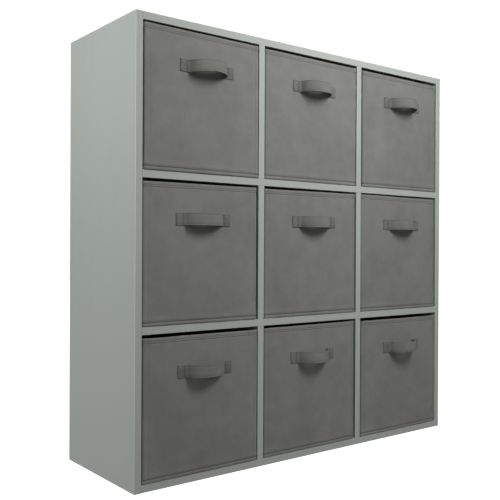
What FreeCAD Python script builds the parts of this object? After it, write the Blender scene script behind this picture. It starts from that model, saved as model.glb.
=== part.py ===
import FreeCAD, Part

import math
import os
import re

import Sketcher
from FreeCAD import Placement, Rotation, Vector

# Cube storage unit: a wooden frame of three by three cubes with nine fabric drawers.
# Millimetres. The origin is the middle of the footprint at floor level, +Z is up, +X is to
# the right seen from the front, and the front looks along -Y.

# ---- driving dimensions: one spreadsheet cell each ----------------------------------------
SIZES = {
    # frame
    "board": 15.0,              # thickness of every panel, shelf and divider
    "cell_width": 278.0,        # clear width of one cube
    "cell_height": 281.0,       # clear height of one cube
    "board_depth": 288.0,       # front edge to rear edge of the boards
    "edge_round": 0.8,          # rounding of the banded front edges
    "back_thickness": 3.0,
    "back_inset": 1.5,          # the back stops this far inside the frame's outline
    "leaf_gap": 0.2,            # between two leaves of the back
    # knock-down fittings
    "cam_radius": 7.5,          # drilled hole for a cam nut
    "cam_depth": 12.5,
    "cam_height": 12.0,
    "cam_setback": 24.0,        # end of the board to the cam's centre
    "cam_inset": 45.0,          # front or rear edge to the cam's centre
    "bolt_thread_radius": 3.0,
    "bolt_shank_radius": 3.5,
    "bolt_neck_radius": 2.2,
    "bolt_bite": 10.0,          # screwed into the side panel
    "bolt_neck": 3.0,
    "bolt_head": 3.0,
    "fitting_play": 0.05,       # radial play of a fitting in its hole
    "cap_radius": 8.5,
    "cap_thickness": 0.8,
    "dowel_radius": 4.0,        # drilled hole for a dowel
    "dowel_length": 30.0,
    "dowel_bite": 10.0,         # depth in the face of a board
    "long_dowel_length": 50.0,
    "dowel_bevel": 1.0,
    "dowel_inset": 60.0,        # front or rear edge to a divider's dowel
    "end_hole": 20.5,           # dowel hole in the end of a board
    "nail_radius": 0.7,
    "nail_head_radius": 2.0,
    "nail_head": 1.0,
    "nail_length": 20.0,
    "nail_tip": 2.0,
    "nail_spread": 70.0,        # middle of a cube to a nail
    "nail_edge": 3.6,           # middle of a divider to a nail in one leaf
    # drawers
    "drawer_width": 272.0,
    "drawer_depth": 278.0,
    "drawer_height": 276.0,
    "drawer_recess": 1.0,       # drawer front behind the frame's front
    "drawer_lift": 0.3,         # play between a drawer and the board under it
    "corner_round": 6.0,
    "skin": 0.9,                # one layer of fabric
    "card_slot": 2.2,           # pocket between the two layers
    "card": 2.0,                # wall stiffener in that pocket
    "card_play": 0.5,
    "slot_margin": 8.0,         # outer corner to the pocket
    "slot_mouth": 6.0,          # height of the slit through which the cards go in
    "hem": 12.0,                # sewn rim above the pockets
    "base_card": 3.0,
    "base_play": 2.0,
    "base_round": 4.0,
    # handle straps
    "strap_height": 26.0,
    "strap_thickness": 2.0,
    "strap_patch": 16.0,        # sewn length at each end
    "strap_chord": 96.0,        # free loop, measured along the drawer front
    "strap_rise": 32.0,         # how far the loop stands out
    "strap_root": 8.0,          # radius where the loop leaves a sewn end
    "strap_drop": 56.0,         # drawer rim to the strap's upper edge
    # sideways place of each drawer in its cube
    "shift_top_left": 1.2,
    "shift_top_middle": -0.6,
    "shift_top_right": 0.0,
    "shift_middle_left": -2.2,
    "shift_middle_middle": -1.4,
    "shift_middle_right": -1.2,
    "shift_bottom_left": 1.6,
    "shift_bottom_middle": -0.6,
    "shift_bottom_right": 0.8,
}

ROWS = ("bottom", "middle", "top")
COLUMNS = ("left", "middle", "right")

UNIT_WIDTH = "(3 * cell_width + 4 * board)"
SPAN = "(3 * cell_width + 2 * board)"
PITCH_X = "(cell_width + board)"
PITCH_Z = "(cell_height + board)"

doc = FreeCAD.newDocument("cube_storage_unit")
sheet = doc.addObject("Spreadsheet::Sheet", "sizes")
nodes = []


def fill_sheet():
    """Write every driving dimension to a cell with an alias."""
    for row, (alias, value) in enumerate(SIZES.items(), start=1):
        sheet.set(f"A{row}", alias)
        sheet.set(f"B{row}", str(value))
        sheet.setAlias(f"B{row}", alias)
    doc.recompute()


def mm(alias):
    """A driving dimension, read back from the sheet."""
    return float(sheet.get(alias))


def bound(text):
    """The text as an expression in which every word is a cell of the sheet."""
    return re.sub(r"[a-z]+(_[a-z]+)*", lambda word: "sizes." + word.group(), text)


def place(item, across, back, up):
    """Bind an object's position to the sheet."""
    for axis, text in (("x", across), ("y", back), ("z", up)):
        item.setExpression(f"Placement.Base.{axis}", bound(text))


def node(item, label):
    """Name an object as a sub-part of the unit."""
    item.Label = label
    nodes.append(item)
    return item


# ---- sketches and features ----------------------------------------------------------------
def plane_of(body, role):
    """One of the body's own origin planes."""
    return [item for item in body.Origin.OriginFeatures if item.Role == role][0]


def sketch_on(body, role, offset="0"):
    """An empty sketch on an origin plane, moved along its normal by a bound offset."""
    sketch = body.newObject("Sketcher::SketchObject", "sketch")
    sketch.AttachmentSupport = (plane_of(body, role), [""])
    sketch.MapMode = "FlatFace"
    sketch.setExpression("AttachmentOffset.Base.z", bound(offset))
    return sketch


def constrain(sketch, text, *terms):
    """Add a dimension to a sketch and bind it to the sheet."""
    index = sketch.addConstraint(Sketcher.Constraint(*terms))
    sketch.setExpression(f"Constraints[{index}]", bound(text))


def hold_point(sketch, geometry, point, across, up):
    """Hold a point of the geometry at bound distances from the sketch's origin."""
    constrain(sketch, across, "DistanceX", -1, 1, geometry, point, 1.0)
    constrain(sketch, up, "DistanceY", -1, 1, geometry, point, 1.0)


def add_polygon(sketch, points):
    """A closed outline whose corners are pairs of bound distances."""
    first = sketch.GeometryCount
    count = len(points)
    turn = 2 * math.pi / count
    corners = [Vector(40 - 30 * math.cos(k * turn), 40 - 30 * math.sin(k * turn), 0)
               for k in range(count)]
    for k in range(count):
        sketch.addGeometry(Part.LineSegment(corners[k], corners[(k + 1) % count]))
    for k in range(count):
        following = first + (k + 1) % count
        sketch.addConstraint(Sketcher.Constraint("Coincident", first + k, 2, following, 1))
    for k, (across, up) in enumerate(points):
        hold_point(sketch, first + k, 1, across, up)


def add_rectangle(sketch, left, bottom, width, height):
    """A rectangle by its low corner and its size."""
    right = f"{left} + {width}"
    top = f"{bottom} + {height}"
    add_polygon(sketch, [(left, bottom), (right, bottom), (right, top), (left, top)])


def add_circle(sketch, across, up, radius):
    """A circle by its centre and radius."""
    circle = Part.Circle(Vector(20, 20, 0), Vector(0, 0, 1), 5)
    index = sketch.addGeometry(circle)
    hold_point(sketch, index, 3, across, up)
    constrain(sketch, radius, "Radius", index, 5.0)


def pad(body, sketch, length):
    """Grow a sketch along its normal."""
    feature = body.newObject("PartDesign::Pad", "pad")
    feature.Profile = sketch
    feature.setExpression("Length", bound(length))
    sketch.Visibility = False


def pocket(body, sketch, depth, along_normal):
    """Cut a sketch into the body, along its normal or against it."""
    feature = body.newObject("PartDesign::Pocket", "pocket")
    feature.Profile = sketch
    feature.Reversed = along_normal
    feature.setExpression("Length", bound(depth))
    sketch.Visibility = False


def drill(body, role, offset, centres, radius, depth, along_normal):
    """Round holes of one radius and depth, drilled from one plane."""
    sketch = sketch_on(body, role, offset)
    for across, up in centres:
        add_circle(sketch, across, up, radius)
    pocket(body, sketch, depth, along_normal)


def dress(body, kind, size_name, size, wanted):
    """Round or bevel the edges of the body's tip that the test picks out."""
    doc.recompute()
    tip = body.Tip
    picked = [f"Edge{number}" for number, edge in enumerate(tip.Shape.Edges, start=1)
              if wanted(edge)]
    feature = body.newObject(kind, "dressing")
    feature.Base = (tip, picked)
    feature.setExpression(size_name, bound(size))
    body.Tip = feature


def new_block(label, width, depth, height):
    """A body padded up from a rectangle whose low corner is the body's origin."""
    body = doc.addObject("PartDesign::Body", label)
    sketch = sketch_on(body, "XY_Plane")
    add_rectangle(sketch, "0", "0", width, depth)
    pad(body, sketch, height)
    return body


def is_front_edge(along):
    """A test for the long front edges of a board that runs along the given axis."""
    def test(edge):
        if len(edge.Vertexes) < 2:
            return False
        start, end = (vertex.Point for vertex in edge.Vertexes)
        run = end - start
        return abs(start.y) < 0.01 and abs(end.y) < 0.01 and abs(run.dot(along)) > 100
    return test


def is_upright_edge(edge):
    """A test for the vertical corner edges of a block."""
    if len(edge.Vertexes) < 2:
        return False
    run = edge.Vertexes[1].Point - edge.Vertexes[0].Point
    return abs(run.x) < 0.01 and abs(run.y) < 0.01


# ---- frame --------------------------------------------------------------------------------
CAM_ROWS = ("cam_inset", "board_depth - cam_inset")
DOWEL_ROWS = ("dowel_inset", "board_depth - dowel_inset")


def side_panel(label, left):
    """A full-height side with blind holes for cam bolts and dowels on its inner face."""
    body = new_block(label, "board", "board_depth", f"3 * {PITCH_Z} + board")
    levels = [f"{level} * {PITCH_Z} + board / 2" for level in range(4)]
    inner = "board" if left else "0"
    bolts = [(row, level) for level in levels for row in CAM_ROWS]
    drill(body, "YZ_Plane", inner, bolts, "bolt_thread_radius + fitting_play", "bolt_bite",
          not left)
    dowels = [("board_depth / 2", level) for level in levels]
    drill(body, "YZ_Plane", inner, dowels, "dowel_radius", "dowel_bite", not left)
    dress(body, "PartDesign::Fillet", "Radius", "edge_round", is_front_edge(Vector(0, 0, 1)))
    across = f"-{UNIT_WIDTH} / 2" if left else f"{UNIT_WIDTH} / 2 - board"
    place(body, across, "-board_depth / 2", "0")
    return node(body, label)


def cross_panel(label, level):
    """A board between the sides: bottom (level 0), two shelves (1 and 2) or top (3)."""
    body = new_block(label, SPAN, "board_depth", "board")
    middle = "board / 2"
    for offset, along_normal in (("0", True), (SPAN, False)):
        bolts = [(row, middle) for row in CAM_ROWS]
        drill(body, "YZ_Plane", offset, bolts, "bolt_shank_radius + fitting_play",
              "cam_setback", along_normal)
        drill(body, "YZ_Plane", offset, [("board_depth / 2", middle)], "dowel_radius",
              "end_hole", along_normal)
    cams = [(column, row) for column in ("cam_setback", f"{SPAN} - cam_setback")
            for row in CAM_ROWS]
    drill(body, "XY_Plane", "0", cams, "cam_radius", "cam_depth", True)
    dowels = [(f"{index} * {PITCH_X} - board / 2", row) for index in (1, 2)
              for row in DOWEL_ROWS]
    if level == 0:
        drill(body, "XY_Plane", "board", dowels, "dowel_radius", "dowel_bite", False)
    else:
        depth = "dowel_bite" if level == 3 else "board"
        drill(body, "XY_Plane", "0", dowels, "dowel_radius", depth, True)
    dress(body, "PartDesign::Fillet", "Radius", "edge_round", is_front_edge(Vector(1, 0, 0)))
    place(body, f"-{SPAN} / 2", "-board_depth / 2", f"{level} * {PITCH_Z}")
    return node(body, label)


def divider(label, row, side):
    """A short upright between two cubes of one row, with dowel holes in both ends."""
    body = new_block(label, "board", "board_depth", "cell_height")
    dowels = [("board / 2", inset) for inset in DOWEL_ROWS]
    drill(body, "XY_Plane", "0", dowels, "dowel_radius", "end_hole", True)
    drill(body, "XY_Plane", "cell_height", dowels, "dowel_radius", "end_hole", False)
    dress(body, "PartDesign::Fillet", "Radius", "edge_round", is_front_edge(Vector(0, 0, 1)))
    place(body, f"{side} * {PITCH_X} / 2 - board / 2", "-board_depth / 2",
          f"{row} * {PITCH_Z} + board")
    return node(body, label)


def back_leaf(label, left, right):
    """One leaf of the thin back between two bound distances from the middle."""
    width = f"({right}) - ({left})"
    body = new_block(label, width, "back_thickness",
                     f"3 * {PITCH_Z} + board - 2 * back_inset")
    place(body, left, "board_depth / 2", "back_inset")
    return node(body, label)


# ---- fittings -----------------------------------------------------------------------------
def turned_body(name, profile):
    """A solid of revolution about Z from pairs of radius and height."""
    body = doc.addObject("PartDesign::Body", name)
    sketch = sketch_on(body, "XZ_Plane")
    add_polygon(sketch, profile)
    feature = body.newObject("PartDesign::Revolution", "turning")
    feature.Profile = sketch
    feature.ReferenceAxis = (sketch, ["V_Axis"])
    feature.Angle = 360
    return body


def round_body(name, radius, length, bevel):
    """A cylinder with both rims bevelled."""
    body = doc.addObject("PartDesign::Body", name)
    sketch = sketch_on(body, "XY_Plane")
    add_circle(sketch, "0", "0", radius)
    pad(body, sketch, length)
    dress(body, "PartDesign::Chamfer", "Size", bevel, lambda edge: len(edge.Vertexes) == 1)
    return body


def cam_bolt_body():
    """Cam bolt: thread, shank, neck and round head, from the tip of the thread up."""
    total = "bolt_bite + cam_setback"
    neck_top = f"{total} - bolt_head"
    neck_foot = f"{neck_top} - bolt_neck"
    return turned_body("cam_bolt", [
        ("0", "0"), ("bolt_thread_radius", "0"), ("bolt_thread_radius", "bolt_bite"),
        ("bolt_shank_radius", "bolt_bite"), ("bolt_shank_radius", neck_foot),
        ("bolt_neck_radius", neck_foot), ("bolt_neck_radius", neck_top),
        ("bolt_shank_radius", neck_top), ("bolt_shank_radius", total), ("0", total)])


def nail_body():
    """Nail for the back: flat head, shank and point, from the head on."""
    tip = "nail_head + nail_length"
    return turned_body("nail", [
        ("0", "0"), ("nail_head_radius", "0"), ("nail_head_radius", "nail_head"),
        ("nail_radius", "nail_head"), ("nail_radius", f"{tip} - nail_tip"), ("0", tip)])


def bound_box(name, size, corner):
    """A Part box whose size and corner are bound to the sheet."""
    box = doc.addObject("Part::Box", name)
    for side, text in zip(("Length", "Width", "Height"), size):
        box.setExpression(side, bound(text))
    place(box, *corner)
    return box


def cam_nut_solid():
    """Cam nut: a drum with the bolt's slot in its side and a driver slot in its face."""
    drum = doc.addObject("Part::Cylinder", "cam_drum")
    drum.setExpression("Radius", bound("cam_radius - fitting_play"))
    drum.setExpression("Height", bound("cam_height"))
    tall = "2 * bolt_shank_radius + 0.6"
    slot = bound_box("cam_slot", ("cam_radius + 5", tall, tall),
                     ("-cam_radius", f"-({tall}) / 2",
                      f"board / 2 - (cam_depth - cam_height) / 2 - ({tall}) / 2"))
    driver = bound_box("cam_driver_slot", ("9", "1.4", "1.6"), ("-4.5", "-0.7", "0"))
    cutters = doc.addObject("Part::MultiFuse", "cam_cutters")
    cutters.Shapes = [slot, driver]
    nut = doc.addObject("Part::Cut", "cam_nut")
    nut.Base = drum
    nut.Tool = cutters
    return nut


def group(label, master, places):
    """Copies of one fitting as separate solids of one sub-part."""
    copies = []
    for position, direction in places:
        copy = master.Shape.copy()
        copy.Placement = Placement(position, Rotation(Vector(0, 0, 1), direction))
        copies.append(copy)
    feature = doc.addObject("Part::Feature", label)
    feature.Shape = Part.makeCompound(copies)
    return node(feature, label)


def make_fittings():
    """Cam bolts, cam nuts, cover caps, dowels and nails, each kind as one sub-part."""
    bolt = cam_bolt_body()
    nail = nail_body()
    nut = cam_nut_solid()
    cap = round_body("cap", "cap_radius", "cap_thickness", "0.25")
    play = "dowel_radius - fitting_play"
    dowel = round_body("dowel", play, "dowel_length", "dowel_bevel")
    long_dowel = round_body("long_dowel", play, "long_dowel_length", "dowel_bevel")
    doc.recompute()

    up = Vector(0, 0, 1)
    half_span = 1.5 * mm("cell_width") + mm("board")
    half_depth = mm("board_depth") / 2
    pitch_x = mm("cell_width") + mm("board")
    pitch_z = mm("cell_height") + mm("board")
    cam_row = half_depth - mm("cam_inset")
    dowel_row = half_depth - mm("dowel_inset")
    recess = (mm("cam_depth") - mm("cam_height")) / 2

    bolts, nuts, caps, dowels, long_dowels = [], [], [], [], []
    for level in range(4):
        foot = level * pitch_z
        middle = foot + mm("board") / 2
        for side in (-1, 1):
            inward = Vector(-side, 0, 0)
            for row in (-cam_row, cam_row):
                start = side * (half_span + mm("bolt_bite"))
                bolts.append((Vector(start, row, middle), inward))
                centre = side * (half_span - mm("cam_setback"))
                nuts.append((Vector(centre, row, foot + recess), side))
                if level > 0:
                    low = foot - mm("cap_thickness")
                    caps.append((Vector(centre, row, low), up))
            start = side * (half_span + mm("dowel_bite") - mm("fitting_play"))
            dowels.append((Vector(start, 0, middle), inward))
            for row in (-dowel_row, dowel_row):
                column = side * pitch_x / 2
                if level == 0:
                    low = mm("board") - mm("dowel_bite") + mm("fitting_play")
                    dowels.append((Vector(column, row, low), up))
                elif level == 3:
                    high = foot + mm("dowel_bite") - mm("fitting_play")
                    dowels.append((Vector(column, row, high), -up))
                else:
                    low = middle - mm("long_dowel_length") / 2
                    long_dowels.append((Vector(column, row, low), up))

    group("cam_bolts", bolt, bolts)
    nut_group(nut, nuts)
    group("cam_caps", cap, caps)
    group("dowels", dowel, dowels)
    group("long_dowels", long_dowel, long_dowels)
    group("back_nails", nail, nail_places(pitch_x, pitch_z, half_depth))


def nut_group(nut, places):
    """Cam nuts, each turned so that its slot faces the end of its board."""
    copies = []
    for position, side in places:
        copy = nut.Shape.copy()
        copy.Placement = Placement(position, Rotation(Vector(0, 0, 1), 90 + 90 * side))
        copies.append(copy)
    feature = doc.addObject("Part::Feature", "cam_nuts")
    feature.Shape = Part.makeCompound(copies)
    node(feature, "cam_nuts")


def nail_places(pitch_x, pitch_z, half_depth):
    """Nails into the cross boards, the sides and the dividers, all from behind."""
    rear = half_depth + mm("back_thickness") + mm("nail_head")
    forward = Vector(0, -1, 0)
    spread = mm("nail_spread")
    half_board = mm("board") / 2
    side_line = 1.5 * pitch_x
    divider_line = pitch_x / 2
    places = []
    for level in range(4):
        height = level * pitch_z + half_board
        for column in (-1, 0, 1):
            for offset in (-spread, spread):
                places.append((Vector(column * pitch_x + offset, rear, height), forward))
    for row in range(3):
        middle = row * pitch_z + pitch_z / 2 + half_board
        for side in (-1, 1):
            for offset in (-spread, spread):
                places.append((Vector(side * side_line, rear, middle + offset), forward))
            for leaf in (-1, 1):
                across = side * divider_line + leaf * mm("nail_edge")
                places.append((Vector(across, rear, middle + leaf * spread / 4), forward))
    return places


# ---- drawers ------------------------------------------------------------------------------
def drawer_cover(label):
    """The sewn fabric box: two layers with pockets for the wall cards, and a base skin."""
    body = new_block(label, "drawer_width", "drawer_depth", "drawer_height")
    dress(body, "PartDesign::Fillet", "Radius", "corner_round", is_upright_edge)

    wall = "2 * skin + card_slot"
    inside = sketch_on(body, "XY_Plane", "drawer_height")
    add_rectangle(inside, wall, wall, f"drawer_width - 2 * ({wall})",
                  f"drawer_depth - 2 * ({wall})")
    pocket(body, inside, "drawer_height - skin", False)

    across = "drawer_width - 2 * slot_margin"
    back = "drawer_depth - 2 * slot_margin"
    far = "skin - card_slot"
    slots = sketch_on(body, "XY_Plane", "drawer_height - hem")
    add_rectangle(slots, "slot_margin", "skin", across, "card_slot")
    add_rectangle(slots, "slot_margin", f"drawer_depth - 2 * skin + {far}", across, "card_slot")
    add_rectangle(slots, "skin", "slot_margin", "card_slot", back)
    add_rectangle(slots, f"drawer_width - 2 * skin + {far}", "slot_margin", "card_slot", back)
    pocket(body, slots, "drawer_height - hem - skin", False)

    mouth_across = sketch_on(body, "XY_Plane", "skin")
    add_rectangle(mouth_across, "slot_margin", "skin", across, "drawer_depth - 2 * skin")
    pocket(body, mouth_across, "slot_mouth", True)
    mouth_back = sketch_on(body, "XY_Plane", "skin")
    add_rectangle(mouth_back, "skin", "slot_margin", "drawer_width - 2 * skin", back)
    pocket(body, mouth_back, "slot_mouth", True)
    return body


def drawer_cards(label):
    """Four loose cards in the pockets of a drawer's walls."""
    tall = "drawer_height - hem - skin - card_play"
    across = "drawer_width - 2 * slot_margin - 2 * card_play"
    back = "drawer_depth - 2 * slot_margin - 2 * card_play"
    edge = "slot_margin + card_play"
    near = "skin + (card_slot - card) / 2"
    cards = [
        bound_box("card", (across, "card", tall), (edge, near, "skin")),
        bound_box("card", (across, "card", tall), (edge, f"drawer_depth - card - ({near})", "skin")),
        bound_box("card", ("card", back, tall), (near, edge, "skin")),
        bound_box("card", ("card", back, tall), (f"drawer_width - card - ({near})", edge, "skin")),
    ]
    compound = doc.addObject("Part::Compound", label)
    compound.Links = cards
    return compound


def drawer_base(label):
    """The stiff board that lies loose on the drawer's bottom."""
    wall = "2 * skin + card_slot"
    body = new_block(label, f"drawer_width - 2 * ({wall} + base_play)",
                     f"drawer_depth - 2 * ({wall} + base_play)", "base_card")
    dress(body, "PartDesign::Fillet", "Radius", "base_round", is_upright_edge)
    return body


def strap_path(body_name):
    """The strap's rear face seen from above: sewn end, loop of three arcs, sewn end."""
    sketch = doc.addObject("Sketcher::SketchObject", body_name)
    half_chord = mm("strap_chord") / 2
    rise = mm("strap_rise")
    patch = mm("strap_patch")
    root = mm("strap_root") + mm("strap_thickness") / 2
    turn = 2 * math.atan(rise / half_chord)
    crown = half_chord / math.sin(turn) - root
    upright = Vector(0, 0, 1)
    quarter = math.pi / 2
    left_root = Part.Circle(Vector(-half_chord, -root, 0), upright, root)
    top = Part.Circle(Vector(0, crown - rise, 0), upright, crown)
    right_root = Part.Circle(Vector(half_chord, -root, 0), upright, root)
    sketch.addGeometry([
        Part.LineSegment(Vector(-half_chord - patch, 0, 0), Vector(-half_chord, 0, 0)),
        Part.ArcOfCircle(left_root, quarter - turn, quarter),
        Part.ArcOfCircle(top, -quarter - turn, -quarter + turn),
        Part.ArcOfCircle(right_root, quarter, quarter + turn),
        Part.LineSegment(Vector(half_chord, 0, 0), Vector(half_chord + patch, 0, 0)),
    ])
    for terms in ((0, 2, 1, 2), (1, 1, 2, 1), (2, 2, 3, 2), (3, 1, 4, 1)):
        sketch.addConstraint(Sketcher.Constraint("Tangent", *terms))
    sketch.addConstraint(Sketcher.Constraint("Horizontal", 0))
    sketch.addConstraint(Sketcher.Constraint("Horizontal", 4))
    root_text = "strap_root + strap_thickness / 2"
    crown_text = ("((strap_chord / 2) ^ 2 + strap_rise ^ 2) / (2 * strap_rise)"
                  f" - ({root_text})")
    hold_point(sketch, 0, 1, "-strap_chord / 2 - strap_patch", "0")
    constrain(sketch, "strap_patch", "DistanceX", 0, 1, 0, 2, patch)
    constrain(sketch, "strap_patch", "DistanceX", 4, 1, 4, 2, patch)
    constrain(sketch, root_text, "Radius", 1, root)
    constrain(sketch, root_text, "Radius", 3, root)
    constrain(sketch, crown_text, "Radius", 2, crown)
    hold_point(sketch, 4, 2, "strap_chord / 2 + strap_patch", "0")
    return sketch


def drawer_strap(label):
    """The handle: a flat strap sewn on at both ends, standing out as a loop between."""
    band = doc.addObject("Part::Offset2D", "strap_band")
    band.Source = strap_path("strap_path")
    band.setExpression("Value", bound("strap_thickness"))
    band.Fill = True
    band.Mode = "Skin"
    strap = doc.addObject("Part::Extrusion", label)
    strap.Base = band
    strap.DirMode = "Custom"
    strap.Dir = Vector(0, 0, 1)
    strap.Solid = True
    strap.setExpression("LengthFwd", bound("strap_height"))
    return strap


def make_drawer(row, column):
    """One drawer in its cube: cover, wall cards, base board and handle strap."""
    name = f"{ROWS[row]}_{COLUMNS[column]}"
    left = (f"({column} - 1) * {PITCH_X} - drawer_width / 2 + shift_{name}")
    front = "-board_depth / 2 + drawer_recess"
    foot = f"{row} * {PITCH_Z} + board + drawer_lift"
    inset = "2 * skin + card_slot + base_play"
    cover = node(drawer_cover(f"{name}_drawer_cover"), f"{name}_drawer_cover")
    place(cover, left, front, foot)
    cards = node(drawer_cards(f"{name}_drawer_cards"), f"{name}_drawer_cards")
    place(cards, left, front, foot)
    base = node(drawer_base(f"{name}_drawer_base"), f"{name}_drawer_base")
    place(base, f"{left} + {inset}", f"{front} + {inset}", f"{foot} + skin")
    strap = node(drawer_strap(f"{name}_drawer_handle"), f"{name}_drawer_handle")
    place(strap, f"{left} + drawer_width / 2", front,
          f"{foot} + drawer_height - strap_drop - strap_height")


# ---- the whole unit -----------------------------------------------------------------------
def make_frame():
    """Sides, cross boards, dividers and the three leaves of the back."""
    side_panel("left_side_panel", True)
    side_panel("right_side_panel", False)
    for level, label in enumerate(("bottom_panel", "lower_shelf", "upper_shelf", "top_panel")):
        cross_panel(label, level)
    for row, row_name in enumerate(ROWS):
        for side, side_name in ((-1, "left"), (1, "right")):
            divider(f"{row_name}_{side_name}_divider", row, side)
    outer = f"{UNIT_WIDTH} / 2 - back_inset"
    seam = f"{PITCH_X} / 2"
    half_gap = "leaf_gap / 2"
    back_leaf("left_back_leaf", f"-({outer})", f"-{seam} - {half_gap}")
    back_leaf("middle_back_leaf", f"-{seam} + {half_gap}", f"{seam} - {half_gap}")
    back_leaf("right_back_leaf", f"{seam} + {half_gap}", outer)


def check_document():
    """Stop on a failed object, an empty or invalid shape, or a pocket that cuts nothing."""
    for item in doc.Objects:
        if "Invalid" in item.State or "Error" in item.State:
            raise RuntimeError(f"{item.Label} failed: {item.State}")
        if item.TypeId == "PartDesign::Pocket":
            if item.Shape.Volume > item.BaseFeature.Shape.Volume - 1:
                raise RuntimeError(f"{item.Label} cuts nothing")
    for item in nodes:
        if item.Shape.isNull() or not item.Shape.isValid() or not item.Shape.Solids:
            raise RuntimeError(f"{item.Label} has no valid solid")


def write_parts():
    """Write each sub-part to its own STEP file."""
    os.makedirs("parts", exist_ok=True)
    for item in nodes:
        item.Shape.exportStep(f"parts/{item.Label}.step")


fill_sheet()
make_frame()
make_fittings()
for drawer_row in range(3):
    for drawer_column in range(3):
        make_drawer(drawer_row, drawer_column)
doc.recompute()
check_document()
write_parts()
print(len(nodes), "sub-parts written")
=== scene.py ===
import math

import bpy
from mathutils import Matrix, Vector, noise


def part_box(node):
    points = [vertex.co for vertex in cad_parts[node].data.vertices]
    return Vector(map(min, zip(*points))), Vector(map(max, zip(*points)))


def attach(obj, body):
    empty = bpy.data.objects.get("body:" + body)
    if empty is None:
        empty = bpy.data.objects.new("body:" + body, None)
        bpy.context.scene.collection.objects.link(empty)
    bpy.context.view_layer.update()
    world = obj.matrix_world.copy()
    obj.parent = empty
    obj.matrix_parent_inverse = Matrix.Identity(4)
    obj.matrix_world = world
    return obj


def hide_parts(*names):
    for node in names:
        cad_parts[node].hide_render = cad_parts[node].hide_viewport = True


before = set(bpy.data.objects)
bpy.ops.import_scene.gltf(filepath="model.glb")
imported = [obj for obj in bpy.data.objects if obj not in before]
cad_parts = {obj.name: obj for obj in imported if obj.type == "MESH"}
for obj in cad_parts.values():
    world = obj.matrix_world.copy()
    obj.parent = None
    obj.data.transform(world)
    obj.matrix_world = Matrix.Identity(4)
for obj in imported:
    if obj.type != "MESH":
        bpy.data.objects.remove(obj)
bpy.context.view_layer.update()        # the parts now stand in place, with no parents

# Cube storage unit: grey melamine frame, nine nonwoven fabric boxes with strap handles.
# Metres throughout. MM turns a size in millimetres to metres.
MM = 0.001
ROWS = ("bottom", "middle", "top")
COLUMNS = ("left", "middle", "right")


# ---- node trees and colours ---------------------------------------------------------------
def linear(code):
    """An sRGB hex colour as linear red, green, blue and alpha."""
    channels = [int(code[k:k + 2], 16) / 255 for k in (1, 3, 5)]
    return [c / 12.92 if c <= 0.04045 else ((c + 0.055) / 1.055) ** 2.4
            for c in channels] + [1.0]


def add(tree, kind, inputs=None, **settings):
    """Add a node with its settings; each input is a value or the socket that feeds it."""
    made = tree.nodes.new(kind)
    for name, value in settings.items():
        setattr(made, name, value)
    for key, value in (inputs or {}).items():
        if isinstance(value, bpy.types.NodeSocket):
            tree.links.new(value, made.inputs[key])
        else:
            made.inputs[key].default_value = value
    return made


def new_finish(name, **sockets):
    """A material with a Principled shader; constants go straight on the shader's sockets."""
    material = bpy.data.materials.new(name)
    material.use_nodes = True
    tree = material.node_tree
    shader = tree.nodes["Principled BSDF"]
    for key, value in sockets.items():
        shader.inputs[key.replace("_", " ")].default_value = value
    return material, tree, shader


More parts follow.
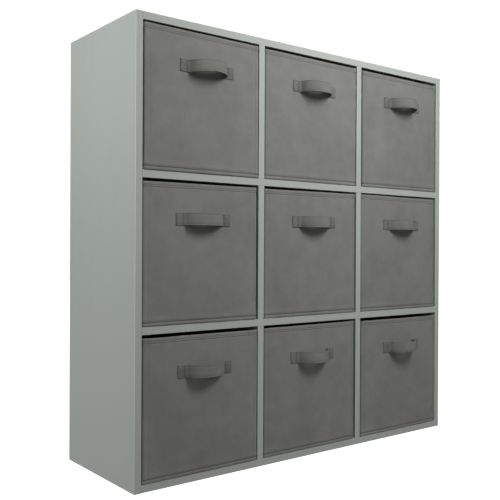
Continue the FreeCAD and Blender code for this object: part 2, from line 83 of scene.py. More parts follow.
def melamine_board(name, grain_axis):
    """Melamine-faced chipboard: a printed paper sealed in hard resin, with a barely visible
    pressed ash grain along the board, a matt plastic band on the front edge, and a painted
    highlight, a paler line, down the band's rounded left corner."""
    material, tree, shader = new_finish(name, Roughness=0.46, Specular_IOR_Level=0.4)
    place = add(tree, "ShaderNodeTexCoord").outputs
    # Pores 2 mm across and 140 mm long; the broad figure of the print, 17 mm by 450 mm.
    fine = [520.0] * 3
    fine[grain_axis] = 7.0
    pores_at = add(tree, "ShaderNodeMapping", {"Vector": place["Object"], "Scale": fine})
    streaks = add(tree, "ShaderNodeTexNoise",
                  {"Vector": pores_at.outputs[0], "Scale": 1.0, "Detail": 3.0,
                   "Roughness": 0.6}).outputs[0]
    broad = [60.0] * 3
    broad[grain_axis] = 2.2
    figure_at = add(tree, "ShaderNodeMapping", {"Vector": place["Object"], "Scale": broad})
    figure = add(tree, "ShaderNodeTexNoise",
                 {"Vector": figure_at.outputs[0], "Scale": 1.0, "Detail": 2.0,
                  "Distortion": 0.4}).outputs[0]
    mixed = add(tree, "ShaderNodeMix", {0: 0.5, 2: streaks, 3: figure}).outputs[0]
    depth = add(tree, "ShaderNodeMapRange",
                {"Value": mixed, "From Min": 0.3, "From Max": 0.7}).outputs[0]
    face = add(tree, "ShaderNodeMix", {0: depth, 6: linear("#a6ada8"), 7: linear("#aab1ac")},
               data_type="RGBA").outputs[2]
    band = add(tree, "ShaderNodeMix", {0: depth, 6: linear("#adb2ab"), 7: linear("#b1b5af")},
               data_type="RGBA").outputs[2]
    facing = add(tree, "ShaderNodeSeparateXYZ", {0: place["Normal"]}).outputs
    front = add(tree, "ShaderNodeMapRange",
                {"Value": facing["Y"], "From Min": -0.9, "From Max": -0.98}).outputs[0]
    faces = add(tree, "ShaderNodeMix", {0: front, 6: face, 7: band},
                data_type="RGBA").outputs[2]
    # The product is above zero on a board's front left and back right corners, where a painted
    # highlight makes the rounded edge paler.
    between = add(tree, "ShaderNodeMath", {0: facing["X"], 1: facing["Y"]},
                  operation="MULTIPLY").outputs[0]
    painted_highlight = add(tree, "ShaderNodeMapRange",
                  {"Value": between, "From Min": 0.15, "From Max": 0.4}).outputs[0]
    # Pale colour mixed in as a painted highlight on those rounded corners.
    colour = add(tree, "ShaderNodeMix", {0: painted_highlight, 6: faces, 7: linear("#dfe2dc")},
                 data_type="RGBA").outputs[2]
    tree.links.new(colour, shader.inputs["Base Color"])
    bump = add(tree, "ShaderNodeBump", {"Height": streaks, "Strength": 0.1,
                                       "Distance": 0.12 * MM})
    tree.links.new(bump.outputs[0], shader.inputs["Normal"])
    resin = add(tree, "ShaderNodeMapRange",
                {"Value": figure, "To Min": 0.42, "To Max": 0.52}).outputs[0]
    rough = add(tree, "ShaderNodeMix", {0: front, 2: resin, 3: 0.95})
    tree.links.new(rough.outputs[0], shader.inputs["Roughness"])
    return material


def fibreboard(name):
    """Hardboard back: pressed wood fibre with a printed grey coat, matt and lightly specked."""
    material, tree, shader = new_finish(name, Roughness=0.7, Specular_IOR_Level=0.3)
    place = add(tree, "ShaderNodeTexCoord").outputs["Object"]
    speck = add(tree, "ShaderNodeTexNoise",
                {"Vector": place, "Scale": 420.0, "Detail": 4.0}).outputs[0]
    cloud = add(tree, "ShaderNodeTexNoise",
                {"Vector": place, "Scale": 9.0, "Detail": 3.0}).outputs[0]
    mixed = add(tree, "ShaderNodeMix", {0: 0.35, 2: speck, 3: cloud}).outputs[0]
    depth = add(tree, "ShaderNodeMapRange",
                {"Value": mixed, "From Min": 0.35, "From Max": 0.65}).outputs[0]
    colour = add(tree, "ShaderNodeMix", {0: depth, 6: linear("#8f928c"), 7: linear("#a5a8a1")},
                 data_type="RGBA").outputs[2]
    tree.links.new(colour, shader.inputs["Base Color"])
    bump = add(tree, "ShaderNodeBump", {"Height": speck, "Strength": 0.2,
                                       "Distance": 0.1 * MM})
    tree.links.new(bump.outputs[0], shader.inputs["Normal"])
    return material


def nonwoven(name, dark, light, gloss, sheen):
    """Spunbond polypropylene cloth: loose fibres fused by a grid of pressed points, so it is
    matt and cloudy, with a soft sheen at grazing angles. The points stand 1.5 mm apart on
    the real cloth and are drawn 2.4 mm apart, so that they show."""
    material, tree, shader = new_finish(name, Roughness=0.88, Specular_IOR_Level=gloss,
                                        Sheen_Weight=sheen, Sheen_Roughness=0.5)
    place = add(tree, "ShaderNodeTexCoord").outputs["Object"]
    fibre = add(tree, "ShaderNodeTexNoise",
                {"Vector": place, "Scale": 900.0, "Detail": 4.0, "Roughness": 0.65,
                 "Distortion": 1.2}).outputs[0]
    cloud = add(tree, "ShaderNodeTexNoise",
                {"Vector": place, "Scale": 38.0, "Detail": 4.0, "Roughness": 0.55}).outputs[0]
    broad = add(tree, "ShaderNodeTexNoise",
                {"Vector": place, "Scale": 9.0, "Detail": 2.0}).outputs[0]
    points = add(tree, "ShaderNodeTexVoronoi",
                 {"Vector": place, "Scale": 1 / (2.4 * MM), "Randomness": 0.25}).outputs[0]
    dimple = add(tree, "ShaderNodeMapRange",
                 {"Value": points, "From Min": 0.12, "From Max": 0.42}).outputs[0]
    clouds = add(tree, "ShaderNodeMix", {0: 0.5, 2: cloud, 3: broad}).outputs[0]
    mixed = add(tree, "ShaderNodeMix", {0: 0.4, 2: clouds, 3: fibre}).outputs[0]
    depth = add(tree, "ShaderNodeMapRange",
                {"Value": mixed, "From Min": 0.36, "From Max": 0.66}).outputs[0]
    base = add(tree, "ShaderNodeMix", {0: depth, 6: linear(dark), 7: linear(light)},
               data_type="RGBA").outputs[2]
    pressed = add(tree, "ShaderNodeMapRange",
                  {"Value": dimple, "To Min": 0.93, "To Max": 1.0}).outputs[0]
    colour = add(tree, "ShaderNodeMix", {"Factor": 1.0, 6: base, 7: pressed},
                 data_type="RGBA", blend_type="MULTIPLY").outputs[2]
    tree.links.new(colour, shader.inputs["Base Color"])
    fine = add(tree, "ShaderNodeBump", {"Height": fibre, "Strength": 0.35,
                                       "Distance": 0.12 * MM}).outputs[0]
    grid = add(tree, "ShaderNodeBump", {"Height": dimple, "Strength": 0.4,
                                       "Distance": 0.15 * MM, "Normal": fine}).outputs[0]
    soft = add(tree, "ShaderNodeBump", {"Height": cloud, "Strength": 0.35,
                                       "Distance": 0.8 * MM, "Normal": grid}).outputs[0]
    tree.links.new(soft, shader.inputs["Normal"])
    return material


def plain_finish(name, dark, light, grain, bump_depth, **sockets):
    """A finish with one fine noise for its colour and bump; grain is its size in metres."""
    material, tree, shader = new_finish(name, **sockets)
    place = add(tree, "ShaderNodeTexCoord").outputs["Object"]
    speck = add(tree, "ShaderNodeTexNoise",
                {"Vector": place, "Scale": 1 / grain, "Detail": 3.0}).outputs[0]
    depth = add(tree, "ShaderNodeMapRange",
                {"Value": speck, "From Min": 0.35, "From Max": 0.65}).outputs[0]
    colour = add(tree, "ShaderNodeMix", {0: depth, 6: linear(dark), 7: linear(light)},
                 data_type="RGBA").outputs[2]
    tree.links.new(colour, shader.inputs["Base Color"])
    bump = add(tree, "ShaderNodeBump", {"Height": speck, "Strength": 0.3,
                                       "Distance": bump_depth})
    tree.links.new(bump.outputs[0], shader.inputs["Normal"])
    return material


board_upright = melamine_board("melamine_ash_grey_upright_grain", 2)
board_level = melamine_board("melamine_ash_grey_level_grain", 0)
back_finish = fibreboard("hardboard_grey_coat")
cover_cloth = nonwoven("nonwoven_polypropylene_grey", "#737370", "#868681", 0.25, 0.12)
# The strap is the same cloth folded and pressed flat, which leaves it no sheen; its colour is
# set darker than the cover's as painted shade on the loop.
strap_cloth_shaded = nonwoven("nonwoven_strap_grey_painted_shade", "#6e6e6b", "#81817c", 0.1, 0.0)
# Polyester sewing thread: twisted and slightly glossy, darker than the cloth.
thread = plain_finish("polyester_thread_grey", "#3b3b39", "#474745", 0.6 * MM, 0.1 * MM,
                      Roughness=0.6, Sheen_Weight=0.2)
# Greyboard: recycled paper pulp, brownish grey and matt.
greyboard = plain_finish("greyboard_stiffener", "#8d8373", "#a0968a", 0.9 * MM, 0.1 * MM,
                         Roughness=0.9)
# Zinc-plated steel: bright bluish metal, blurred by the plating.
zinc = plain_finish("zinc_plated_steel", "#a9abad", "#bfc1c2", 2 * MM, 0.02 * MM,
                    Roughness=0.38, Metallic=1.0)
# Moulded polyethylene cover cap, satin.
cap_plastic = plain_finish("moulded_cap_grey", "#9fa49d", "#a8ada6", 1.5 * MM, 0.03 * MM,
                           Roughness=0.5)
# Beech dowel: turned wood with compressed flutes, pale and dry.
beech = plain_finish("beech_dowel", "#b98f62", "#d1ab7e", 1.2 * MM, 0.05 * MM, Roughness=0.75)


def dress_node(name, material):
    """Give a carried-over CAD node its finish."""
    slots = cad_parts[name].data.materials
    slots.clear()
    slots.append(material)


def dress_frame():
    """Finishes of the boards, the back and the fittings."""
    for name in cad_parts:
        if name.endswith("_side_panel") or name.endswith("_divider"):
            dress_node(name, board_upright)
        elif name.endswith("_shelf") or name in ("top_panel", "bottom_panel"):
            dress_node(name, board_level)
        elif name.endswith("_back_leaf"):
            dress_node(name, back_finish)
        elif name.endswith("_drawer_base"):
            dress_node(name, greyboard)
    for name in ("cam_bolts", "cam_nuts", "back_nails"):
        dress_node(name, zinc)
    dress_node("cam_caps", cap_plastic)
    dress_node("dowels", beech)
    dress_node("long_dowels", beech)


# ---- fabric boxes -------------------------------------------------------------------------
CORNER = 3.0 * MM        # outer corner radius of a box: card edges under cloth
SEAM_IN = 10.0 * MM      # corner edge to the seam that closes it
HEM_ROWS = (6.8 * MM, 10.6 * MM)     # rim to the hem's two stitch rows
BINDING = 6.2 * MM       # height of the bound seam at the foot
WALL = 4.0 * MM          # cloth, card and lining together
FLOOR_SKIN = 0.9 * MM
FOOT_INSET = 3.4 * MM    # outer skin to the flat part of the underside
FOOT_ROUND = ((-0.1 * MM, 0.9 * MM), (0.5 * MM, 0.35 * MM))     # height, inset
RIM_ROUND = ((0.25 * MM, 0.5 * MM), (0.0, 1.5 * MM))            # below the rim, inset
LINING_STEPS = 26        # rings down the lining

# Small forms of the outside: how far each stands out or, for a groove or crease, goes in.
FRONT_WAVE = 0.7 * MM
SIDE_SAG = 0.8 * MM
CLOTH_WAVE = 0.28 * MM
LINING_WAVE = 0.5 * MM
BINDING_TAPE = 0.5 * MM
BINDING_CREASE = 1.1 * MM
FOOT_FULLNESS = 0.8 * MM
HEM_GROOVES = (0.6 * MM, 1.1 * MM)
HEM_FULLNESS = 0.35 * MM
SEAM_GROOVE = 0.3 * MM
SEAM_ALLOWANCE = 0.35 * MM

CARD = 1.4 * MM          # wall stiffener between the layers
CARD_FOOT = 10.0 * MM    # its lower edge, above the binding's crease
CARD_TOP = 14.5 * MM     # rim to its upper edge, below the hem
CARD_MARGIN = 6.0 * MM   # end of a straight side to its upright edge
CARD_ROWS = 14           # divisions up a card
CARD_COLUMNS = 12        # divisions along it

# How each box differs from its plain solid, in millimetres: how far it stands forward and to
# the right, how much narrower it is, the swell of its front, and the lift of its rim at the
# left and at the right.
STANCE = {
    "top_left": (3.0, -1.3, -0.2, 2.6, 0.3, -0.4),
    "top_middle": (2.2, -0.9, -1.6, 3.6, -1.2, -1.9),
    "top_right": (2.0, -1.1, 3.8, 3.8, -1.9, -2.6),
    "middle_left": (1.9, -0.3, 1.2, 4.0, -1.4, -0.5),
    "middle_middle": (1.4, -0.6, 0.0, 4.4, -1.1, 0.5),
    "middle_right": (0.6, -1.5, 2.3, 5.0, 2.0, 0.2),
    "bottom_left": (1.7, -1.7, -1.1, 4.4, -1.8, -2.2),
    "bottom_middle": (0.8, -1.5, 2.0, 4.8, -1.1, -0.6),
    "bottom_right": (1.1, -0.6, 0.0, 4.6, -2.6, -2.6),
}
# How each handle differs from the drawn one, in millimetres: how much farther the loop reaches
# out, and how far the strap sits to the right and up.
GRIP = {
    "top_left": (3.5, 3.2, 0.4),
    "top_middle": (2.6, 1.0, 0.6),
    "top_right": (2.8, 0.0, 0.4),
    "middle_left": (-4.0, -1.0, -2.0),
    "middle_middle": (-3.2, 2.6, 0.8),
    "middle_right": (-5.0, 1.4, 0.4),
    "bottom_left": (-3.0, 0.0, -1.6),
    "bottom_middle": (-0.4, -1.4, 0.2),
    "bottom_right": (2.4, 0.0, -0.6),
}


def hump(distance, half_width):
    """A smooth bump of height 1 at distance 0 that ends at the half width."""
    share = abs(distance) / half_width
    return (1 - share * share) ** 2 if share < 1 else 0.0


def drift(x, y, z, size, seed):
    """Smooth noise from -1 to 1 with features of about the given size."""
    return noise.noise(Vector((x / size + seed * 7.3, y / size - seed * 3.1, z / size)))


class Box:
    """One fabric box: its size and place from the frame, and the shape of its walls."""

    def __init__(self, name, seed):
        self.name = name
        self.seed = seed
        low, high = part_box(f"{name}_drawer_cover")
        stance = [value * MM for value in STANCE[name]]
        self.forward, across, narrower, self.swell, self.rim_left, self.rim_right = stance
        self.width, self.depth, self.height = high - low
        self.width -= narrower
        self.middle = Vector(((low.x + high.x) / 2 + across,
                              (low.y + high.y) / 2 - self.forward, low.z))
        self.handle_low, self.handle_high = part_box(f"{name}_drawer_handle")
        self.reach, self.aside, self.raised = [value * MM for value in GRIP[name]]

    def swelling(self, x, z):
        """How far the front stands forward of its flat plane at x from the middle."""
        across = max(0.0, 1 - (2 * x / (self.width - 2 * SEAM_IN)) ** 2)
        up = max(0.0, 1 - (2 * z / self.height - 1) ** 2)
        return self.swell * across ** 0.8 * up ** 0.6

    def relief(self, side, x, y, z, run, length):
        """Outward offset of the outer skin. run is the distance along a side of that length."""
        out = 0.0
        if side == "front":
            out += self.swelling(x, z)
            out += FRONT_WAVE * drift(x, y, z, 70 * MM, self.seed) * hump(x, 150 * MM)
        elif side == "back":
            out += 0.6 * self.swelling(x, z)
        elif side != "corner":
            out -= SIDE_SAG * hump(run - length / 2, length / 2) * z / self.height
        out += CLOTH_WAVE * drift(x, y, z, 26 * MM, self.seed + 5)
        # The bound seam at the foot: a rolled tape under a tucked crease.
        tape = hump(z - BINDING * 0.45, BINDING * 0.62)
        out += BINDING_TAPE * tape
        out -= BINDING_CREASE * hump(z - BINDING - 0.6 * MM, 1.5 * MM)
        out += FOOT_FULLNESS * hump(z - BINDING - 6 * MM, 5 * MM)
        for groove, row in zip(HEM_GROOVES, HEM_ROWS):
            out -= groove * hump(self.height - z - row, 1.1 * MM)
        out += HEM_FULLNESS * hump(self.height - z, HEM_ROWS[1])
        if side != "corner":
            edge = min(run, length - run) + CORNER
            out -= SEAM_GROOVE * hump(edge - SEAM_IN, 1.6 * MM) * (z > BINDING)
            out += SEAM_ALLOWANCE * hump(edge - SEAM_IN / 2, SEAM_IN / 2)
        return out

    def rim_lift(self, x, z):
        """How much higher than the frame solid the wall stands, fading out downwards."""
        share = x / self.width + 0.5
        lift = self.rim_left * (1 - share) + self.rim_right * share
        lift += 0.5 * MM * drift(x, 0, 0, 60 * MM, self.seed + 9)
        return lift * max(0.0, z / self.height) ** 4


def stations(length, step):
    """Places along a side: close together at the corner seams and even between them."""
    seam = SEAM_IN - CORNER
    close = [seam + k * 0.8 * MM for k in (-3, -2, -1, 0, 1, 2, 3)]
    inner = [0.0] + close
    span = length - 2 * inner[-1]
    count = max(2, round(span / step))
    between = [inner[-1] + span * k / count for k in range(1, count)]
    return inner + between + [length - place for place in reversed(inner)]


def outline(width, depth):
    """The box seen from above, anticlockwise from the front left: place, outward normal,
    side name, run along the side and the side's length."""
    half_x, half_y = width / 2 - CORNER, depth / 2 - CORNER
    sides = (("front", Vector((-half_x, -half_y)), Vector((1, 0)), 2 * half_x, 5 * MM),
             ("right", Vector((half_x, -half_y)), Vector((0, 1)), 2 * half_y, 11 * MM),
             ("back", Vector((half_x, half_y)), Vector((-1, 0)), 2 * half_x, 11 * MM),
             ("left", Vector((-half_x, half_y)), Vector((0, -1)), 2 * half_y, 11 * MM))
    points = []
    for side, start, along, length, step in sides:
        normal = Vector((along.y, -along.x))
        for run in stations(length, step):
            points.append((start + along * run + normal * CORNER, normal, side, run, length))
        heel = start + along * length
        for k in range(1, 6):
            turn = math.radians(90 * k / 6)
            spoke = normal * math.cos(turn) + along * math.sin(turn)
            points.append((heel + spoke * CORNER, spoke, "corner", 0.0, 0.0))
    return points


def wall_heights(height):
    """Heights up a wall: close together at the foot's binding and at the hem."""
    foot = [2.0, 2.8, 3.8, 4.7, 5.4, 5.9, 6.4, 6.9, 7.4, 8.0, 8.7, 9.6, 11.0, 13.0, 15.5]
    hem = [13.5, 12.3, 11.7, 11.2, 10.6, 10.0, 9.5, 8.9, 7.9, 7.3, 6.8, 6.3, 5.7, 4.5, 2.6, 1.0]
    low = [value * MM for value in foot]
    high = [height - value * MM for value in hem]
    count = round((high[0] - low[-1]) / (6 * MM))
    between = [low[-1] + (high[0] - low[-1]) * k / count for k in range(1, count)]
    return low + between + high


def mesh_object(name, vertices, faces, material):
    """A mesh object at the origin with smooth faces and one finish."""
    mesh = bpy.data.meshes.new(name)
    mesh.from_pydata([tuple(point) for point in vertices], [], faces)
    mesh.validate()
    mesh.materials.append(material)
    for face in mesh.polygons:
        face.use_smooth = True
    made = bpy.data.objects.new(name, mesh)
    bpy.context.scene.collection.objects.link(made)
    return made


def loft(rings):
    """Faces between rings of equal length, with a flat cap on the first and last ring."""
    count = len(rings[0])
    vertices = [point for ring in rings for point in ring]
    faces = [list(range(count))[::-1]]
    for level in range(len(rings) - 1):
        base = level * count
        for k in range(count):
            following = (k + 1) % count
            faces.append([base + k, base + following, base + count + following,
                          base + count + k])
    faces.append([(len(rings) - 1) * count + k for k in range(count)])
    return vertices, faces


def cover_rings(box):
    """The sewn box as one skin: under the foot, up the outside, over the rim and down the
    lining to the inside of the bottom."""
    points = outline(box.width, box.depth)
    top = box.height
    rings = []

    def flat_ring(shrink, z, inset):
        ring = []
        for place, normal, *_ in points:
            spot = (place - normal * inset) * shrink
            ring.append(box.middle + Vector((spot.x, spot.y, z)))
        return ring

    def outer_ring(z, inset=0.0):
        ring = []
        for place, normal, side, run, length in points:
            out = box.relief(side, place.x, place.y, z, run, length) - inset
            spot = place + normal * out
            ring.append(box.middle + Vector((spot.x, spot.y, z + box.rim_lift(place.x, z))))
        return ring

    def inner_ring(z, inset):
        ring = []
        for place, normal, side, *_ in points:
            follow = 0.75 * box.swelling(place.x, z) if side == "front" else 0.0
            wave = LINING_WAVE * drift(place.x, place.y, z, 60 * MM, box.seed + 20)
            hem_edge = 0.4 * MM * hump(top - z, HEM_ROWS[1] + 3 * MM)
            spot = place + normal * (follow + wave + hem_edge - inset)
            ring.append(box.middle + Vector((spot.x, spot.y, z + box.rim_lift(place.x, z))))
        return ring

    for shrink, z in ((0.7, 0.1 * MM), (0.94, 0.0), (1.0, -0.15 * MM)):
        rings.append(flat_ring(shrink, z, FOOT_INSET))
    rings += [outer_ring(z, inset) for z, inset in FOOT_ROUND]
    rings += [outer_ring(z) for z in wall_heights(top)]
    rings += [outer_ring(top - below, inset) for below, inset in RIM_ROUND]
    rings.append(inner_ring(top - 0.25 * MM, WALL - 0.9 * MM))
    rings.append(inner_ring(top - 1.5 * MM, WALL - 0.1 * MM))
    lining_top, lining_foot = top - 5 * MM, 2.5 * MM
    for k in range(LINING_STEPS + 1):
        z = lining_top - (lining_top - lining_foot) * k / LINING_STEPS
        rings.append(inner_ring(z, WALL))
    rings.append(inner_ring(FLOOR_SKIN, WALL + 1.5 * MM))
    rings.append(flat_ring(0.93, FLOOR_SKIN, WALL + 1.5 * MM))
    rings.append(flat_ring(0.7, FLOOR_SKIN, WALL + 1.5 * MM))
    return rings


def make_cover(box):
    """The fabric box itself."""
    vertices, faces = loft(cover_rings(box))
    cover = mesh_object(f"{box.name}_sewn_cover", vertices, faces, cover_cloth)
    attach(cover, f"{box.name}_drawer")
    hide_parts(f"{box.name}_drawer_cover")


def card_rings(box, start, along, length, share):
    """One wall card as a stack of rings, out along its outer face and back along the other.
    share is how much of the front's swelling it follows."""
    normal = Vector((along.y, -along.x))
    rings = []
    there = range(CARD_COLUMNS + 1)
    for level in range(CARD_ROWS + 1):
        z = CARD_FOOT + (box.height - CARD_TOP - CARD_FOOT) * level / CARD_ROWS
        ring = []
        for face, order in ((1, there), (-1, reversed(there))):
            for k in order:
                run = CARD_MARGIN + (length - 2 * CARD_MARGIN) * k / CARD_COLUMNS
                spot = start + along * run
                out = share * box.swelling(spot.x, z) + CORNER - (WALL - face * CARD) / 2
                spot = spot + normal * out
                ring.append(box.middle + Vector((spot.x, spot.y, z)))
        rings.append(ring)
    return rings


def make_cards(box):
    """The four cards that stiffen the walls, where the sewn walls stand."""
    half_x, half_y = box.width / 2 - CORNER, box.depth / 2 - CORNER
    vertices, faces = [], []
    # The shares lie about midway between the outside's swelling and the lining's.
    for start, along, length, share in (
            ((-half_x, -half_y), (1, 0), 2 * half_x, 0.87),
            ((half_x, -half_y), (0, 1), 2 * half_y, 0.0),
            ((half_x, half_y), (-1, 0), 2 * half_x, 0.3),
            ((-half_x, half_y), (0, -1), 2 * half_y, 0.0)):
        points, skins = loft(card_rings(box, Vector(start), Vector(along), length, share))
        faces += [[corner + len(vertices) for corner in skin] for skin in skins]
        vertices += points
    cards = mesh_object(f"{box.name}_wall_cards", vertices, faces, greyboard)
    for face in cards.data.polygons:
        face.use_smooth = False
    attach(cards, f"{box.name}_drawer")
    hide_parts(f"{box.name}_drawer_cards")


# ---- strap handles ------------------------------------------------------------------------
STRAP_THICK = 1.8 * MM
STRAP_PATCH = 16.0 * MM      # sewn length at each end
STRAP_ROOT = 8.0 * MM        # bend where the loop leaves the sewn end
STRAP_HEM = 0.8              # its edge stitching, as a share of the half height
STRAP_NARROWING = 0.95       # sewing draws the strap in from its cut height
STRAP_LAYERS = 1.08          # thicker where it is folded under and sewn
STRAP_LEAN = 1.8 * MM        # how far the loop's lower edge stands out more than its middle
STRAP_SWAY = 1.4 * MM        # how far the loop strays up and down
ROOT_ROWS = (-2.2 * MM, -1.0 * MM, 0.3 * MM, 1.7 * MM)      # stitch rows that hold the root


def strap_line(box):
    """The strap's middle line seen from above: pairs of distance across and standing out."""
    low, high = box.handle_low, box.handle_high
    half_chord = (high.x - low.x) / 2 - STRAP_PATCH
    rise = (high.y - low.y) - 2 * STRAP_THICK + box.reach
    turn = 2 * math.atan(rise / half_chord)
    crown = half_chord / math.sin(turn) - STRAP_ROOT
    line = [(-half_chord - STRAP_PATCH + STRAP_PATCH * k / 8, 0.0) for k in range(8)]
    for k in range(9):
        angle = turn * k / 8
        line.append((-half_chord + STRAP_ROOT * math.sin(angle),
                     STRAP_ROOT * (1 - math.cos(angle))))
    for k in range(1, 40):
        angle = turn * (1 - 2 * k / 40)
        line.append((-crown * math.sin(angle), rise - crown * (1 - math.cos(angle))))
    mirrored = [(-across, out) for across, out in reversed(line[:17])]
    return line + mirrored


def strap_section():
    """The strap's cross-section with a folded, stitched edge: pairs of height from -1 to 1
    and share of the half thickness."""
    outer = [(-1.0, 0.0), (-0.992, 0.62), (-0.97, 1.0), (-0.90, 1.1), (-0.85, 0.98),
             (-STRAP_HEM, 0.6), (-0.75, 0.94), (-0.4, 0.92), (0.0, 0.9), (0.4, 0.92),
             (0.75, 0.94), (STRAP_HEM, 0.6), (0.85, 0.98), (0.90, 1.1), (0.97, 1.0),
             (0.992, 0.62)]
    return outer + [(-height, -thick) for height, thick in outer]


def strap_centre(box):
    """The middle of the strap on the flat front, and half its height."""
    low, high = box.handle_low, box.handle_high
    centre = Vector(((low.x + high.x) / 2 + box.aside, high.y - box.forward,
                     (low.z + high.z) / 2 + box.raised))
    return centre, STRAP_NARROWING * (high.z - low.z) / 2


def strap_point(box, across, out, height):
    """A point on or near the strap: across and out along its line, height from -1 to 1."""
    centre, half_tall = strap_centre(box)
    stands = max(out, 0.0) / (30 * MM)
    x = centre.x + across
    z = centre.z + height * half_tall
    rest_on = box.swelling(x - box.middle.x, z - box.middle.z)
    sway = STRAP_SWAY * drift(across, 0, 0, 45 * MM, box.seed + 30) * stands
    lean = -STRAP_LEAN * height * stands
    return Vector((x, centre.y - rest_on - STRAP_THICK * 0.6 - out - lean, z + sway))


def make_strap(box):
    """The handle strap: two sewn ends that follow the front, and a loop that stands out."""
    line = strap_line(box)
    rings = []
    for k, (across, out) in enumerate(line):
        before = line[max(k - 1, 0)]
        after = line[min(k + 1, len(line) - 1)]
        along = Vector((after[0] - before[0], after[1] - before[1])).normalized()
        normal = Vector((-along.y, along.x))
        end_gap = min(across - line[0][0], line[-1][0] - across)
        pinch = 1.0 - 0.55 * hump(end_gap, 1.2 * MM)
        layers = STRAP_LAYERS if end_gap < STRAP_PATCH - 3 * MM else 1.0
        ring = []
        for height, thick in strap_section():
            offset = thick * STRAP_THICK / 2 * layers * pinch
            ring.append(strap_point(box, across + normal.x * offset,
                                    out + normal.y * offset, height))
        rings.append(ring)
    vertices, faces = loft(rings)
    strap = mesh_object(f"{box.name}_strap", vertices, faces, strap_cloth_shaded)
    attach(strap, f"{box.name}_drawer")
    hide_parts(f"{box.name}_drawer_handle")


# Boxes whose strap ends are sewn down with extra rows of stitches.
REINFORCED = ("top_left", "bottom_left")


# ---- stitches -----------------------------------------------------------------------------
def stitch_tree():
    """Geometry Nodes: one short plump stitch at each step along every edge path."""
    tree = bpy.data.node_groups.new("stitches_along_paths", "GeometryNodeTree")
    sockets = {}
    face = tree.interface
    face.new_socket("Paths", in_out="INPUT", socket_type="NodeSocketGeometry")
    for name, value in (("Pitch", 4 * MM), ("Stitch Length", 3 * MM),
                        ("Thread Thickness", 0.7 * MM)):
        made = face.new_socket(name, in_out="INPUT", socket_type="NodeSocketFloat")
        made.default_value = value
        sockets[name] = made.identifier
    made = face.new_socket("Thread", in_out="INPUT", socket_type="NodeSocketMaterial")
    sockets["Thread"] = made.identifier
    face.new_socket("Geometry", in_out="OUTPUT", socket_type="NodeSocketGeometry")
    source = add(tree, "NodeGroupInput").outputs
    curve = add(tree, "GeometryNodeMeshToCurve", {"Mesh": source["Paths"]}).outputs[0]
    points = add(tree, "GeometryNodeCurveToPoints",
                 {"Curve": curve, "Length": source["Pitch"]}, mode="LENGTH").outputs
    size = add(tree, "ShaderNodeCombineXYZ",
               {"X": source["Stitch Length"], "Y": source["Thread Thickness"],
                "Z": source["Thread Thickness"]}).outputs[0]
    bead = add(tree, "GeometryNodeMeshUVSphere",
               {"Segments": 6, "Rings": 4, "Radius": 0.5}).outputs[0]
    lying = add(tree, "GeometryNodeTransform",
                {"Geometry": bead, "Rotation": (0, math.pi / 2, 0)}).outputs[0]
    stitch = add(tree, "GeometryNodeTransform", {"Geometry": lying, "Scale": size}).outputs[0]
    turned = add(tree, "FunctionNodeAlignRotationToVector", {"Vector": points["Tangent"]},
                 axis="X").outputs[0]
    placed = add(tree, "GeometryNodeInstanceOnPoints",
                 {"Points": points["Points"], "Instance": stitch,
                  "Rotation": turned}).outputs[0]
    solid = add(tree, "GeometryNodeRealizeInstances", {"Geometry": placed}).outputs[0]
    finished = add(tree, "GeometryNodeSetMaterial",
                   {"Geometry": solid, "Material": source["Thread"]}).outputs[0]
    add(tree, "NodeGroupOutput", {"Geometry": finished})
    return tree, sockets


def path_mesh(name, paths):
    """An object with one chain of edges for each path; a closed path repeats its start."""
    vertices, edges = [], []
    for path in paths:
        first = len(vertices)
        vertices += [tuple(point) for point in path]
        edges += [(first + k, first + k + 1) for k in range(len(path) - 1)]
    mesh = bpy.data.meshes.new(name)
    mesh.from_pydata(vertices, edges, [])
    made = bpy.data.objects.new(name, mesh)
    bpy.context.scene.collection.objects.link(made)
    return made


def stitched(name, paths, pitch, length, thick):
    """Stitches along the paths, as a plain mesh object."""
    source = path_mesh(name + "_path", paths)
    modifier = source.modifiers.new("stitches", "NODES")
    modifier.node_group = STITCHES
    modifier[STITCH_SOCKETS["Pitch"]] = pitch
    modifier[STITCH_SOCKETS["Stitch Length"]] = length
    modifier[STITCH_SOCKETS["Thread Thickness"]] = thick
    modifier[STITCH_SOCKETS["Thread"]] = thread
    evaluated = source.evaluated_get(bpy.context.evaluated_depsgraph_get())
    mesh = bpy.data.meshes.new_from_object(evaluated)
    mesh.name = name
    bpy.data.objects.remove(source)
    for face in mesh.polygons:
        face.use_smooth = True
    made = bpy.data.objects.new(name, mesh)
    bpy.context.scene.collection.objects.link(made)
    return made


def around_box(box, z, proud):
    """A closed path round the outside of the box at one height. proud is how far it stands
    out from the skin, and below zero it lies in it."""
    path = []
    for place, normal, side, run, length in outline(box.width, box.depth):
        out = box.relief(side, place.x, place.y, z, run, length) + proud
        spot = place + normal * out
        path.append(box.middle + Vector((spot.x, spot.y, z + box.rim_lift(place.x, z))))
    return path + [path[0]]


def patch_paths(box):
    """The sewn square with a cross in it, and the close rows that hold the loop's root."""
    line = strap_line(box)
    outer = line[-1][0] - 2.4 * MM
    inner = line[-1][0] - STRAP_PATCH + 1.2 * MM
    lift = STRAP_THICK * 0.56

    def stretch(start, end):
        return [strap_point(box, start[0] + (end[0] - start[0]) * k / 6, lift,
                            start[1] + (end[1] - start[1]) * k / 6) for k in range(7)]

    paths = []
    for side in (-1, 1):
        corners = [(side * inner, -STRAP_HEM), (side * outer, -STRAP_HEM),
                   (side * outer, STRAP_HEM), (side * inner, STRAP_HEM)]
        for k in range(4):
            paths.append(stretch(corners[k], corners[(k + 1) % 4]))
        paths.append(stretch(corners[0], corners[2]))
        paths.append(stretch(corners[1], corners[3]))
        for shift in ROOT_ROWS:
            paths.append(stretch((side * (inner + shift), -STRAP_HEM),
                                 (side * (inner + shift), STRAP_HEM)))
        if box.name in REINFORCED:
            for up in (-0.56, -0.33, -0.11, 0.11, 0.33, 0.56):
                paths.append(stretch((side * inner, up), (side * outer, up)))
    return paths


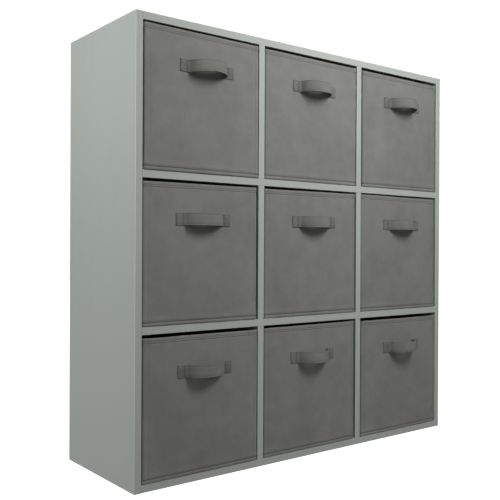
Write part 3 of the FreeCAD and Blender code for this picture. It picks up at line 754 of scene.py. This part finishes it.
def strap_hem_paths(box):
    """The stitch rows along both edges of the loop's outer face."""
    line = strap_line(box)[9:-9]
    paths = []
    for height in (-STRAP_HEM, STRAP_HEM):
        path = []
        for k in range(1, len(line) - 1):
            along = Vector((line[k + 1][0] - line[k - 1][0],
                            line[k + 1][1] - line[k - 1][1])).normalized()
            face = 0.32 * STRAP_THICK
            path.append(strap_point(box, line[k][0] - along.y * face,
                                    line[k][1] + along.x * face, height))
        paths.append(path)
    return paths


def make_stitches(box):
    """Hem rows, the row in the crease over the binding, and the sewing of the strap."""
    rows = [around_box(box, box.height - row, 0.1 * MM) for row in HEM_ROWS]
    rows.append(around_box(box, BINDING + 0.5 * MM, -0.1 * MM))
    body = stitched(f"{box.name}_cover_stitches", rows,
                    pitch=4.2 * MM, length=3.3 * MM, thick=0.75 * MM)
    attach(body, f"{box.name}_drawer")
    sewing = stitched(f"{box.name}_strap_stitches", patch_paths(box) + strap_hem_paths(box),
                      pitch=3.0 * MM, length=2.3 * MM, thick=0.7 * MM)
    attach(sewing, f"{box.name}_drawer")


# ---- camera, light and floor --------------------------------------------------------------
CAMERA_PLACE = (-1.11307, -1.34890, 0.46016)
CAMERA_TURN = (37.85, -0.14, 0.269)      # yaw to the right of straight back, pitch and roll
CAMERA_LENS = 52.735                     # on a sensor 36 wide


def make_camera():
    """A low three-quarter view from the left, level with the middle of the unit."""
    yaw, pitch, roll = [math.radians(angle) for angle in CAMERA_TURN]
    forward = Vector((math.sin(yaw) * math.cos(pitch), math.cos(yaw) * math.cos(pitch),
                      math.sin(pitch)))
    level = Vector((math.cos(yaw), -math.sin(yaw), 0))
    up = level.cross(forward)
    right = level * math.cos(roll) + up * math.sin(roll)
    top = right.cross(forward)
    data = bpy.data.cameras.new("camera")
    data.lens = CAMERA_LENS
    data.sensor_width = 36
    camera = bpy.data.objects.new("camera", data)
    bpy.context.scene.collection.objects.link(camera)
    basis = Matrix((right, top, -forward)).transposed().to_4x4()
    camera.matrix_world = Matrix.Translation(CAMERA_PLACE) @ basis
    bpy.context.scene.camera = camera


def soft_light(name, place, aim, size, watts):
    """A square area light that faces a point."""
    data = bpy.data.lights.new(name, "AREA")
    data.size = size
    data.energy = watts
    light = bpy.data.objects.new(name, data)
    light.location = place
    light.visible_camera = False
    light.rotation_euler = (Vector(aim) - Vector(place)).to_track_quat("-Z", "Y").to_euler()
    bpy.context.scene.collection.objects.link(light)


DIM_BELOW, DIM_ABOVE = 0.055, 0.693      # strength of the light all round
PEAK_HEIGHT = 0.6                        # sine of the angle at which it is strongest
FLOOR_HALF = 8.0


def make_stage():
    """A white floor and backdrop, a soft light in front, one at the left, and dim light all
    round that is strongest some way above the horizon."""
    bpy.context.scene.view_settings.view_transform = "Standard"
    world = bpy.data.worlds.new("studio")
    bpy.context.scene.world = world
    world.use_nodes = True
    tree = world.node_tree
    shade = tree.nodes["Background"]
    shade.inputs["Color"].default_value = (1, 1, 1, 1)
    turn = add(tree, "ShaderNodeTexCoord").outputs["Generated"]
    height = add(tree, "ShaderNodeSeparateXYZ", {0: turn}).outputs["Z"]
    rising = add(tree, "ShaderNodeMapRange",
                 {"Value": height, "From Min": -0.2, "From Max": PEAK_HEIGHT,
                  "To Min": DIM_BELOW, "To Max": DIM_ABOVE}).outputs[0]
    falling = add(tree, "ShaderNodeMapRange",
                  {"Value": height, "From Min": PEAK_HEIGHT, "From Max": 0.95,
                   "To Min": 1.0, "To Max": 0.15}).outputs[0]
    strength = add(tree, "ShaderNodeMath", {0: rising, 1: falling},
                   operation="MULTIPLY").outputs[0]
    tree.links.new(strength, shade.inputs["Strength"])
    white = add(tree, "ShaderNodeBackground", {"Color": (1, 1, 1, 1), "Strength": 1.05})
    seen = add(tree, "ShaderNodeLightPath").outputs["Is Camera Ray"]
    mixed = add(tree, "ShaderNodeMixShader", {0: seen, 1: shade.outputs[0],
                                              2: white.outputs[0]})
    tree.links.new(mixed.outputs[0], tree.nodes["World Output"].inputs[0])

    floor_paint = new_finish("white_studio_floor", Roughness=0.9,
                             Base_Color=(0.6, 0.6, 0.6, 1), Emission_Color=(1, 1, 1, 1),
                             Emission_Strength=1.0)[0]
    corners = [(x * FLOOR_HALF, y * FLOOR_HALF, 0)
               for x, y in ((-1, -1), (1, -1), (1, 1), (-1, 1))]
    floor = mesh_object("studio_floor", corners, [(0, 1, 2, 3)], floor_paint)
    floor.visible_diffuse = False

    soft_light("key", place=(0.12, -0.97, 1.18), aim=(0, 0, 0.6), size=0.45, watts=7.9)
    soft_light("left_side", place=(-1.2, -0.05, 0.97), aim=(-0.45, 0, 0.6), size=0.4,
               watts=4.9)


make_camera()
make_stage()
dress_frame()
STITCHES, STITCH_SOCKETS = stitch_tree()
for row, row_name in enumerate(ROWS):
    for column, column_name in enumerate(COLUMNS):
        fabric_box = Box(f"{row_name}_{column_name}", 3 * row + column + 1)
        make_cover(fabric_box)
        make_cards(fabric_box)
        make_strap(fabric_box)
        make_stitches(fabric_box)
